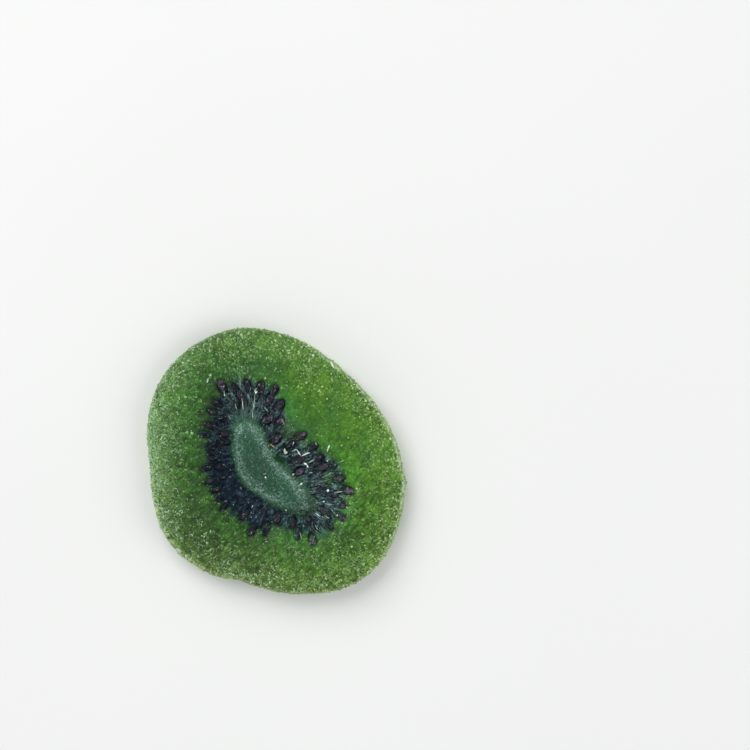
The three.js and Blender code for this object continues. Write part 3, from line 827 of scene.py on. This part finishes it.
def make_sugar(material, points, looks, rng):
    """Fine grains in short bent strings all over the slice, drawn by how thickly sugar lies on each face."""
    following = np.roll(np.arange(STEPS_ROUND), -1)
    corners = [points[:-1], points[1:], points[1:, following], points[:-1, following]]
    crossed = np.cross(corners[2] - corners[0], corners[3] - corners[1]) / 2
    area = np.linalg.norm(crossed, axis=-1)
    weight = (area * looks["frost"][:-1] ** 1.5 * (1 - 0.4 * looks["coarse"][:-1])).ravel()
    chosen = rng.choice(weight.size, STRING_COUNT, p=weight / weight.sum())
    level, step = np.unravel_index(chosen, area.shape)
    across, along = rng.uniform(0, 1, (2, STRING_COUNT, 1))
    first, second, third, fourth = (corner[level, step] for corner in corners)
    middle = lerp(lerp(first, second, along), lerp(fourth, third, along), across)
    normal = crossed[level, step] / np.maximum(1e-9, area[level, step])[:, None]
    ahead = second - first
    ahead /= np.maximum(1e-9, np.linalg.norm(ahead, axis=-1, keepdims=True))
    beside = np.cross(normal, ahead)

    here = {key: looks[key][level, step] for key in ("coarse", "outwards", "left", "upper_left", "minty")}
    larger = (lerp(0.85, 1.4, here["coarse"]) * (1 + 0.15 * here["outwards"] ** 2))[:, None, None]
    size = np.clip(GRAIN_SIZE * larger * rng.lognormal(-0.04, 0.46, (STRING_COUNT, 1, 1)), *GRAIN_SIZES)
    count = np.arange(STRING_GRAINS) - (STRING_GRAINS - 1) / 2
    heading = rng.normal(0, 0.9, (STRING_COUNT, 1)) + rng.normal(0, 0.6, (STRING_COUNT, 1)) * count
    drawn_out = 1 - 0.4 * here["coarse"] + 0.5 * here["left"] ** 2
    reach = (rng.uniform(0.2, 1.5, (STRING_COUNT, 1)) * count)[..., None] * size * drawn_out[:, None, None]
    direction = np.cos(heading)[..., None] * ahead[:, None] + np.sin(heading)[..., None] * beside[:, None]
    size = size * rng.uniform(0.7, 1.15, (STRING_COUNT, STRING_GRAINS, 1))
    centre = (middle[:, None] + reach * direction + 0.2 * size * normal[:, None]).reshape(-1, 1, 3)
    total = STRING_COUNT * STRING_GRAINS
    turn = np.linalg.qr(rng.normal(0, 1, (total, 3, 3)))[0]
    grains = GRAIN_POINTS[None] * rng.uniform(0.65, 1.2, (total, 6, 1)) * size.reshape(-1, 1, 1)
    placed = np.einsum("gij,gpj->gpi", turn, grains) + centre
    over = placed[..., 2].max(axis=1) - cad_box[1][2] / MM - HIGHEST_GRAIN
    placed[..., 2] = np.maximum(placed[..., 2] - np.maximum(0, over)[:, None], 0)
    faces = (GRAIN_FACES[None] + 6 * np.arange(total)[:, None, None]).reshape(-1, 3)
    tone = rng.beta(1.2, 2.4, STRING_COUNT) + 0.2 * here["outwards"] ** 2
    tone = tone + 0.3 * here["upper_left"] * rng.uniform(-0.3, 1, STRING_COUNT)
    tone = tone + 0.3 * here["outwards"] ** 2 * rng.uniform(-0.6, 1, STRING_COUNT)
    tone = np.repeat(tone, STRING_GRAINS) + rng.normal(0, 0.06, total)
    values = {key: np.repeat(here[key], 6 * STRING_GRAINS) for key in ("minty", "left")}
    values["tone"] = np.repeat(np.clip(tone, 0, 1), 6)
    make_piece("sugar", placed.reshape(-1, 3), faces, material, smooth=False, values=values)


def make_pale_bits(material, points, seed_points, rng):
    """Loose bits, each draped over the face and the seeds."""
    template, faces = drop_template(BIT_ROWS, BIT_SIDES)
    upper = np.vstack([points[: TOP_RINGS + WALL_RINGS].reshape(-1, 3), seed_points]) + OFFSET
    parts = []
    for x, y, length, width, heading, _ in PALE_BITS:
        shape = template * [length, width, 0.7 * width]
        rough = 1 + 0.35 * noise(shape / 0.22 + rng.uniform(0, 90, 3), 51)
        laid = spin(shape * rough[:, None], math.radians(heading)) + [x, y, 0.3 * width]
        away = np.hypot(*(laid[:, None, :2] - upper[None, :, :2]).transpose(2, 0, 1))
        near = away < np.maximum(0.16, away.min(axis=1, keepdims=True) + 0.01)
        height = np.where(near, upper[:, 2], 0).max(axis=1)
        laid[:, 2] += np.maximum(height, height.max() - 0.25)
        over = laid[:, 2].max() - cad_box[1][2] / MM - HIGHEST_GRAIN
        parts.append((laid - [0, 0, max(0, over)], faces))
    points, faces, numbers = join(parts)
    values = {"tone": np.array([bit[-1] for bit in PALE_BITS])[numbers]}
    make_piece("pale_bits", points - OFFSET, faces, material, values=values)


# Materials

def srgb(red, green, blue):
    """A colour as seen on screen, from 0 to 255, in the renderer's linear values."""
    values = np.array([red, green, blue]) / 255
    linear = np.where(values <= 0.04045, values / 12.92, ((values + 0.055) / 1.055) ** 2.4)
    return (*linear.tolist(), 1.0)


class Shader:
    """A material being built. Where a node's input is a word, it reads the piece's value of that name."""

    def __init__(self, name):
        self.material = bpy.data.materials.new(name)
        self.material.use_nodes = True
        self.nodes = self.material.node_tree.nodes

    def put(self, socket, given):
        if isinstance(given, str):
            given = self.node("Attribute", "Fac", {}, attribute_name=given)
        if isinstance(given, bpy.types.NodeSocket):
            self.material.node_tree.links.new(given, socket)
        else:
            socket.default_value = given

    def node(self, kind, output, inputs, **settings):
        """An output of a new node, whose inputs are given by name or by number."""
        node = self.nodes.new("ShaderNode" + kind)
        for name, setting in settings.items():
            setattr(node, name, setting)
        for name, given in inputs.items():
            self.put(node.inputs[name], given)
        return node.outputs[output]

    def surface_is(self, **inputs):
        surface = self.nodes["Principled BSDF"]
        for name, given in inputs.items():
            self.put(surface.inputs[name.replace("_", " ").title().replace("Ior", "IOR")], given)
        return self.material

    def vector(self, name):
        return self.node("Attribute", "Vector", {}, attribute_name=name)

    def position(self):
        return self.node("TexCoord", "Object", {})

    def stretched(self, vector, x, y, z):
        return self.node("Mapping", "Vector", {"Vector": vector, "Scale": (x, y, z)})

    def turned(self, vector, heading, length):
        """Turned to a heading, and drawn out along it."""
        inputs = {"Vector": vector, "Rotation": (0, 0, heading), "Scale": (length, 1, 1)}
        return self.node("Mapping", "Vector", inputs, vector_type="TEXTURE")

    def warped(self, vector, scale, amount):
        """The vector, shifted a little this way and that by noise."""
        loose = self.node("TexNoise", "Color", {"Vector": vector, "Scale": scale})
        centred = self.node("VectorMath", "Vector", {0: loose, 1: (0.5, 0.5, 0.5)}, operation="SUBTRACT")
        inputs = {0: centred, 1: (amount, amount, amount), 2: vector}
        return self.node("VectorMath", "Vector", inputs, operation="MULTIPLY_ADD")

    def noise(self, vector, scale=1.0, detail=2.0, roughness=0.5):
        inputs = {"Vector": vector, "Scale": scale, "Detail": detail, "Roughness": roughness}
        return self.node("TexNoise", "Fac", inputs)

    def rayed(self, round_core, outwards, detail, roughness=0.5):
        """Noise drawn out along the fruit's rays: how fine it is round the core, and how fine outwards."""
        rays = self.stretched(self.vector("rays"), round_core, round_core, outwards)
        return self.noise(rays, 1.0, detail, roughness)

    def cells(self, vector, scale):
        """The distance from the middle of each cell, and the cell's own chance from 0 to 1."""
        inputs = {"Vector": vector, "Scale": scale}
        own = self.node("TexVoronoi", "Color", inputs)
        return self.node("TexVoronoi", "Distance", inputs), self.node("SeparateColor", "Red", {"Color": own})

    def range(self, value, low, high, to_low=0.0, to_high=1.0):
        inputs = {"Value": value, "From Min": low, "From Max": high, "To Min": to_low, "To Max": to_high}
        return self.node("MapRange", "Result", inputs, interpolation_type="SMOOTHSTEP")

    def math(self, operation, first, second=0.5):
        return self.node("Math", 0, {0: first, 1: second}, operation=operation)

    def times(self, product, *shares):
        for share in shares:
            product = self.math("MULTIPLY", product, share)
        return product

    def scaled(self, colour, factor):
        """The colour, made brighter or darker."""
        return self.node("VectorMath", "Vector", {"Vector": colour, "Scale": factor}, operation="SCALE")

    def mix(self, share, *colours):
        """From the first colour to the second. One that is given by its numbers is as seen on screen."""
        first, second = (srgb(*colour) if isinstance(colour, tuple) else colour for colour in colours)
        return self.node("Mix", 2, {0: share, 6: first, 7: second}, data_type="RGBA")

    def layered(self, colour, *layers):
        """The colour under layers: a tint and the shares whose product is its strength, or a brightness."""
        for layer in layers:
            if isinstance(layer, tuple):
                colour = self.mix(self.times(*layer[1:]), colour, layer[0])
            else:
                colour = self.scaled(colour, layer)
        return colour

    def bump(self, height, strength, distance, normal=None):
        inputs = {"Height": height, "Strength": strength, "Distance": distance * MM}
        if normal is not None:
            inputs["Normal"] = normal
        return self.node("Bump", "Normal", inputs)


def flesh_colour(s, at, mottle, grain):
    strokes = s.noise(s.turned(at, math.radians(42), 3.2), 2400, 2)
    hairs = s.rayed(44, 1.7, 2)
    darker, brighter = s.range("calm", 0, 1, 0.64, 0.86), s.range("calm", 0, 1, 1.36, 1.14)
    darkest, brightest = s.range("upper_left", 0, 1, 0.66, 0.5), s.range("upper_left", 0, 1, 1.34, 1.5)
    return s.layered(
        s.mix("warm", (60, 110, 28), (84, 132, 22)),
        ((46, 98, 40), s.range(s.noise(at, 230, 1), 0.42, 0.6, 0.0, 0.5)),
        ((26, 62, 30), "cool", 0.85),
        ((42, 85, 32), s.range("left", 0.5, 1.0), 0.55),
        (s.mix("left", (64, 120, 36), (42, 84, 24)), "near_seeds", 0.7),
        ((84, 121, 42), s.range("outwards", 0.35, 1.0, 0.0, 0.3)),
        ((78, 98, 30), "olive", 0.7),
        s.range(s.noise(at, 420, 3, 0.55), 0.3, 0.7, 0.86, 1.14),
        s.range(mottle, 0.3, 0.7, darker, brighter),
        s.range(grain, 0.3, 0.7, darkest, brightest),
        s.range(strokes, 0.35, 0.65, darker, brighter),
        (s.mix("left", (40, 82, 30), (26, 62, 46)), "halo", 0.5),
        ((48, 92, 70), "bluish", 0.34),
        ((30, 70, 44), "wisps", s.range(hairs, 0.5, 0.36), 0.6),
        ((132, 176, 140), "wisps", s.range(hairs, 0.52, 0.68), 0.8),
    )


def gel_colour(s, warped, grain, streaks, spokes):
    strands = s.rayed(17, 0.5, 2, 0.6)
    hairs = s.range(s.rayed(44, 1.7, 2), 0.56, 0.76)
    calm = s.range("left", 0.45, 0.95)
    tinge = s.mix("tip", (36, 68, 57), (56, 102, 80))
    feathered = s.mix(s.range(strands, 0.38, 0.62), (36, 60, 54), (86, 120, 108))

    def uneven(value, low, darkest, brightest):
        """Brightness by noise, with its least and most on the lively right and on the calm left."""
        return s.range(value, low, 1 - low, s.range(calm, 0, 1, *darkest), s.range(calm, 0, 1, *brightest))

    return s.layered(
        s.mix("left", (24, 46, 58), (8, 19, 39)),
        ((46, 60, 66), "streaky", 0.4),
        (s.mix("left", (100, 132, 128), (28, 46, 58)), s.range(streaks, 0.45, 0.68)),
        (s.mix("left", (62, 102, 56), (20, 50, 40)), "border", s.range(streaks, 0.35, 0.6, 0.25, 0.85)),
        ((16, 24, 36), "tip", s.range(strands, 0.5, 0.38, 0.0, 0.8)),
        ((126, 158, 152), "tip", s.range(strands, 0.56, 0.68, 0.0, 0.7)),
        (s.scaled(tinge, s.range(streaks, 0.3, 0.7, 0.4, 1.6)), "tinge", 0.8),
        ((140, 170, 160), "streaky", "inner_gel", hairs, s.range("tip", 0.0, 1.0, 0.8, 0.4), 0.75),
        ((58, 92, 40), "green", 0.8),
        uneven(grain, 0.3, (0.45, 0.72), (1.55, 1.28)),
        ((8, 15, 22), "inner_gel", s.range(spokes, 0.48, 0.36)),
        uneven(s.noise(warped, 760, 3, 0.6), 0.36, (0.48, 0.78), (1.5, 1.22)),
        uneven(s.rayed(42, 0.8, 3, 0.6), 0.36, (0.85, 0.42), (1.15, 1.7)),
        s.range("glow", -1.0, 1.0, 0.68, 1.36),
        # painted glints: small pale specks on the streaky gel
        ((130, 150, 152), "streaky", "inner_gel", s.range(grain, 0.58, 0.72), 0.5),
        ((66, 100, 52), "green", 0.45),
        (feathered, s.range("tip_blend", 0.05, 0.75, 0.0, 0.9)),
    )


def core_colour(s, warped, grain, spokes):
    cotton = s.range(s.noise(warped, 2800, 2), 0.51, 0.65)
    dashes = s.range(s.noise(s.stretched(warped, 1.6, 1, 1), 2600, 1), 0.58, 0.7)
    return s.layered(
        s.mix("core_depth", (38, 72, 54), (35, 73, 52)),
        s.range(grain, 0.3, 0.7, 0.64, 1.36),
        ((112, 150, 132), "core_ring", s.range(spokes, 0.44, 0.64), 0.55),
        ((156, 194, 174), "core_ring", cotton, s.range(spokes, 0.4, 0.6, 0.45, 1.1), 0.55),
        ((120, 160, 142), dashes, 0.35),
        s.range("core_glow", -1.0, 1.0, 0.68, 1.4),
    )


def frost_marks(s, at, warped):
    """Where the frosting's fine lines and its spots lie."""
    lines = s.range(s.math("ABSOLUTE", s.math("SUBTRACT", s.noise(warped, 1500, 2), 0.5)), 0.045, 0.0)
    gaps = s.math("SUBTRACT", s.noise(at, 1000, 2), s.range("frost", 0.0, 1.1, 0.66, 0.36))
    spots, chance = s.cells(warped, 2300)
    chance = s.math("SUBTRACT", chance, s.range("frost", 0.0, 1.1, 0.9, 0.45))
    return (
        s.times(lines, s.range(gaps, -0.05, 0.08)),
        s.times(s.range(spots, 0.36, 0.16), s.range(chance, 0.0, 0.05)),
    )


def flesh_material():
    s = Shader("kiwi_flesh")
    at = s.position()
    warped = s.warped(at, 1300, 0.5 * MM)
    mottle = s.noise(warped, 900, 3, 0.6)
    grain = s.noise(at, 2600, 3, 0.65)
    streaks = s.rayed(18, 0.8, 3, 0.65)
    spokes = s.rayed(34, 1.5, 2, 0.6)
    lines, spots = frost_marks(s, at, warped)
    frosting_tone = s.mix("minty", s.mix("left", (166, 206, 122), (162, 198, 144)), (146, 180, 164))
    rim_light_tone = s.layered(s.mix("left", (192, 230, 176), (194, 224, 182)), ((226, 218, 140), "olive", 0.9))
    ridged = s.range(s.rayed(12, 3.4, 2), 0.48, 0.58)
    milky = s.range(s.noise(s.stretched(warped, 1, 1.8, 1), 1500, 3, 0.7), 0.38, 0.6)
    colour = s.layered(
        flesh_colour(s, at, mottle, grain),
        (gel_colour(s, warped, grain, streaks, spokes), "seeded"),
        (core_colour(s, warped, grain, spokes), "core"),
        (
            s.mix("seeded", (128, 168, 118), (138, 170, 160)),
            "streak", s.range(s.rayed(60, 0.9, 3, 0.7), 0.44, 0.6), 0.75,
        ),
        s.range("here", -1.6, 1.6, 0.5, 1.5),
        # painted shade: near-black in the dents round the seeds and in their shadow crescents
        ((4, 9, 12), "moat", 0.8),
        (s.mix(mottle, (6, 34, 16), (20, 72, 32)), "pit", 0.9),
        (frosting_tone, lines, 0.5),
        (frosting_tone, spots, 0.6),
        # painted rim light: the pale line along the lit rim
        (rim_light_tone, "edge", s.range(s.math("ADD", grain, s.times(mottle, 0.6)), 0.68, 0.94)),
        ((196, 226, 186), "rim_line", s.range(s.rayed(30, 1.4, 3), 0.4, 0.6), 0.85),
        ((172, 206, 156), "ridges", ridged, s.range(grain, 0.4, 0.55), 0.75),
        ((134, 174, 106), "milk", milky, 0.36),
    )
    normal = s.bump(s.math("ADD", mottle, s.times(grain, 0.5)), 0.5, 0.2)
    normal = s.bump(s.math("MAXIMUM", lines, spots), 0.5, 0.08, normal)
    return s.surface_is(
        base_color=colour,
        roughness=0.5,
        specular_ior_level=s.range("seeded", 0.0, 1.0, 0.25, 0.08),
        subsurface_weight=s.range("seeded", 0.0, 1.0, 0.45, 0.2),
        subsurface_radius=(0.7, 1.0, 0.4),
        subsurface_scale=0.36 * MM,
        normal=s.bump(s.times(streaks, "seeded"), 0.5, 0.25, normal),
    )


def seed_material():
    s = Shader("seed_coat")
    whole = s.vector("own")
    own = s.stretched(whole, 0.45, 1, 1)
    coat = s.noise(own, 4.2, 3, 0.65)
    sheen = s.noise(own, 1.3, 2)
    painted_glints = s.times(s.range(s.noise(own, 5.0, 1), 0.56, 0.66), s.range(s.noise(whole, 1.1, 0), 0.5, 0.62))
    colour = s.layered(
        s.mix("tone", (7, 15, 26), (42, 42, 56)),
        ((98, 84, 98), s.range(sheen, 0.42, 0.66), "tone", 0.9),
        ((8, 9, 14), s.range(coat, 0.5, 0.36, 0.0, 0.6)),
        # painted shade along the seed's sides
        ((4, 6, 10), "flank", 0.9),
        # painted highlights: a few pale glints on each seed
        ((176, 172, 176), painted_glints, "glint", 0.9),
        ((122, 136, 134), s.range(coat, 0.42, 0.6), "dust", 0.6),
    )
    roughness = s.range(sheen, 0.3, 0.7, 0.32, 0.55)
    return s.surface_is(
        base_color=colour, roughness=roughness, specular_ior_level=0.1, normal=s.bump(coat, 0.35, 0.05)
    )


def fibre_material():
    s = Shader("fibre")
    patchy = s.range(s.noise(s.position(), 900), 0.4, 0.7, 0.0, 0.6)
    colour = s.layered(s.mix("tone", (28, 44, 54), (176, 204, 188)), ((40, 68, 64), patchy))
    return s.surface_is(base_color=colour, roughness=0.5, specular_ior_level=0.15)


def sugar_material():
    s = Shader("sugar_grains")
    colour = s.layered(
        s.mix("tone", (80, 130, 32), (214, 236, 164)),
        (s.mix("tone", (76, 124, 60), (206, 238, 198)), "left"),
        (s.mix("tone", (62, 92, 88), (190, 214, 204)), s.range("minty", 0.2, 0.7)),
    )
    return s.surface_is(base_color=colour, roughness=0.45, specular_ior_level=0.4)


def pale_bit_material():
    s = Shader("pale_bits")
    colour = s.layered(
        s.mix(s.range("tone", 0.1, 0.45), (176, 150, 100), (186, 204, 180)),
        ((248, 252, 246), s.range("tone", 0.45, 1.0)),
        ((146, 178, 134), s.range(s.noise(s.position(), 1200), 0.45, 0.7, 0.0, 0.45)),
    )
    return s.surface_is(base_color=colour, roughness=0.5)


def floor_material():
    s = Shader("floor")
    colour = s.mix(s.noise(s.position(), 9, 2), (236, 236, 234), (242, 242, 240))
    glow = s.times("far", FLOOR_GLOW)
    return s.surface_is(base_color=colour, roughness=0.7, emission_color=colour, emission_strength=glow)


# Stage, in metres

# The photograph's side in its own pixels, the slice's middle there, and the millimetres that the side spans.
PHOTO_SIDE = 750
SLICE_PIXEL = (276.1, 461.5)
PHOTO_SPAN = 127.5
CAMERA_HEIGHT = 250.0
CAMERA_SENSOR = 36.0
FLOOR_SIZE = 24
FLOOR_STEPS = 96
FLOOR_LEVEL = -0.00005
# Far off, where the lamps don't reach, the floor has a glow of its own, so that low views have no dark band.
FLOOR_GLOW = 0.55
FLOOR_GLOW_START = 0.4
WORLD_COLOUR = (0.95, 0.98, 1.0, 1)
WORLD_STRENGTH = 0.4
LAMP_SIZE = 0.6
LAMPS = [
    ("key", (-0.3, 0.46, 0.56), 4.2),
    ("fill", (0.55, -0.15, 0.5), 1.8),
    ("low_fill", (-0.3, -0.6, 0.4), 1.0),
]


def make_floor():
    bpy.ops.mesh.primitive_grid_add(
        x_subdivisions=FLOOR_STEPS, y_subdivisions=FLOOR_STEPS, size=FLOOR_SIZE, location=(0, 0, FLOOR_LEVEL)
    )
    floor = bpy.context.object
    floor.name = "floor"
    reach = [vert.co.length ** 4 for vert in floor.data.vertices]
    far = floor.data.attributes.new("far", "FLOAT", "POINT")
    far.data.foreach_set("value", [away / (away + FLOOR_GLOW_START) for away in reach])
    floor.data.materials.append(floor_material())


def make_light():
    world = bpy.data.worlds.new("studio")
    world.use_nodes = True
    background = world.node_tree.nodes["Background"]
    background.inputs["Color"].default_value = WORLD_COLOUR
    background.inputs["Strength"].default_value = WORLD_STRENGTH
    bpy.context.scene.world = world
    for name, place, power in LAMPS:
        light = bpy.data.lights.new(name, "AREA")
        light.shape = "SQUARE"
        light.size = LAMP_SIZE
        light.energy = power
        lamp = bpy.data.objects.new(name, light)
        lamp.location = place
        lamp.rotation_euler = (-Vector(place)).to_track_quat("-Z", "Y").to_euler()
        bpy.context.scene.collection.objects.link(lamp)


def make_camera():
    """A camera over the photograph's middle, so that the slice lies where the photograph shows it."""
    per_pixel = PHOTO_SPAN / PHOTO_SIDE
    data = bpy.data.cameras.new("camera")
    data.sensor_width = CAMERA_SENSOR
    data.lens = CAMERA_SENSOR * CAMERA_HEIGHT / PHOTO_SPAN
    data.clip_start, data.clip_end = 0.01, 5
    camera = bpy.data.objects.new("camera", data)
    camera.location = (
        (PHOTO_SIDE / 2 - SLICE_PIXEL[0]) * per_pixel * MM,
        (SLICE_PIXEL[1] - PHOTO_SIDE / 2) * per_pixel * MM,
        (CAMERA_HEIGHT + FLESH_HEIGHT) * MM,
    )
    bpy.context.scene.collection.objects.link(camera)
    bpy.context.scene.camera = camera


bpy.context.scene.view_settings.view_transform = "Standard"
rng = np.random.default_rng(20)
top_seeds = seed_places(TOP_SEEDS)
under_seeds = seed_places(UNDER_SEEDS)
placed, looks = make_body(flesh_material(), top_seeds, under_seeds)
seed_points = make_seeds(seed_material(), top_seeds, under_seeds, rng)
make_fibres(fibre_material(), top_seeds, rng)
make_sugar(sugar_material(), placed, looks, rng)
make_pale_bits(pale_bit_material(), placed, seed_points, rng)
make_floor()
make_light()
make_camera()
